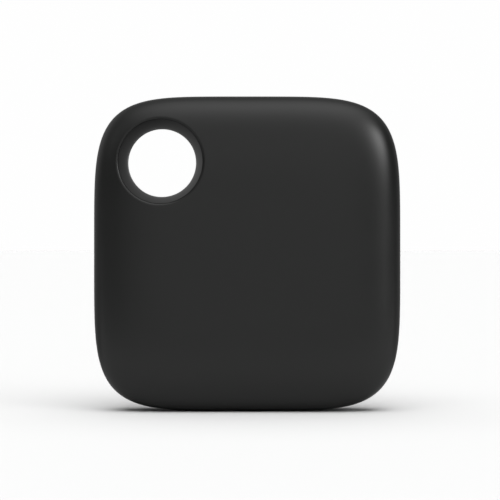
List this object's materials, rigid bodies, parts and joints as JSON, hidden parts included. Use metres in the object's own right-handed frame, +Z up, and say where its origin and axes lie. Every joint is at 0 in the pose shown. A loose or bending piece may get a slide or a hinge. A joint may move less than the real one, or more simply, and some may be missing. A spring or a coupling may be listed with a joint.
{
  "type": "bluetooth tracker tag",
  "caption": "Pillow-shaped square key tag with a round ring hole in one corner, a pressable face, a lift-off back cover, a coin cell, a circuit board and a piezo sounder inside.",
  "frame": {"origin": "middle of the tag's width and thickness, at the bottom edge that it stands on", "axes": "+Z up the tag as it stands, face towards -Y and back towards +Y, +X to the right as the face is seen, with the ring hole at upper left"},
  "size_m": [0.039, 0.0098, 0.0401],
  "materials": {
    "shell": "charcoal, fine soft matte moulding",
    "frame": "dark grey satin moulding",
    "silicone": "grey silicone",
    "seal": "black rubber",
    "cell_steel": "nickel-plated steel",
    "gasket": "black nylon",
    "contact": "gold-plated spring sheet",
    "board": "green solder mask on glass laminate",
    "chip": "black moulded epoxy",
    "crystal": "nickel can",
    "antenna": "white ceramic",
    "ferrite": "dark grey ferrite",
    "capacitor": "tan ceramic",
    "resistor": "black glazed ceramic",
    "switch_plastic": "light grey nylon",
    "switch_metal": "stainless spring sheet",
    "sounder_brass": "rolled brass disc",
    "piezo": "silvered piezo ceramic",
    "adhesive": "pale acrylic foam film"
  },
  "bodies": {
    "chassis": {"inner_frame": "frame", "main_board": "board", "cover_seal": "seal", "radio_chip": "chip", "main_crystal": "crystal", "clock_crystal": "crystal", "chip_antenna": "antenna", "boost_inductor": "ferrite", "bulk_capacitor": "capacitor", "capacitor_1": "capacitor", "capacitor_2": "capacitor", "capacitor_3": "capacitor", "capacitor_4": "capacitor", "resistor_1": "resistor", "resistor_2": "resistor", "resistor_3": "resistor", "switch_base": "switch_plastic", "switch_dome": "switch_metal", "sounder_holder": "frame", "sounder_adhesive": "adhesive", "sounder_plate": "sounder_brass", "sounder_ceramic": "piezo", "sounder_contact_1": "contact", "sounder_contact_2": "contact"},
    "face": {"front_shell": "shell", "press_pad": "silicone"},
    "plunger": {"switch_plunger": "switch_plastic"},
    "cover": {"rear_cover": "shell"},
    "coin_cell": {"cell_can": "cell_steel", "cell_cap": "cell_steel", "cell_gasket": "gasket"},
    "negative_leaf": {"negative_contact": "contact"},
    "positive_clip": {"positive_contact": "contact"}
  },
  "joints": [
    {"name": "face_press", "type": "slide", "parent": "chassis", "child": "face", "axis": [0, 1, 0], "range_m": [0, 0.00025], "stiffness_N_per_m": 4000},
    {"name": "plunger_press", "type": "slide", "parent": "chassis", "child": "plunger", "axis": [0, 1, 0], "range_m": [0, 0.00025]},
    {"name": "cover_lift", "type": "slide", "parent": "chassis", "child": "cover", "axis": [0, 1, 0], "range_m": [0, 0.012]},
    {"name": "cell_lift", "type": "slide", "parent": "chassis", "child": "coin_cell", "axis": [0, 1, 0], "range_m": [0, 0.006]},
    {"name": "negative_contact_flex", "type": "hinge", "parent": "chassis", "child": "negative_leaf", "pos_m": [-0.005, -0.00052, 0.01765], "axis": [0, 0, 1], "range_deg": [0, 5]},
    {"name": "positive_contact_flex", "type": "hinge", "parent": "chassis", "child": "positive_clip", "pos_m": [0.01295, -0.00052, 0.01765], "axis": [0, 0, 1], "range_deg": [0, 3]}
  ],
  "couplings": [
    {"joint": "plunger_press", "follows": "face_press", "ratio": 1},
    {"joint": "cell_lift", "follows": "cover_lift", "ratio": 0.5},
    {"joint": "negative_contact_flex", "follows": "cover_lift", "rad_per_m": 7.2},
    {"joint": "positive_contact_flex", "follows": "cover_lift", "rad_per_m": 4.3}
  ]
}
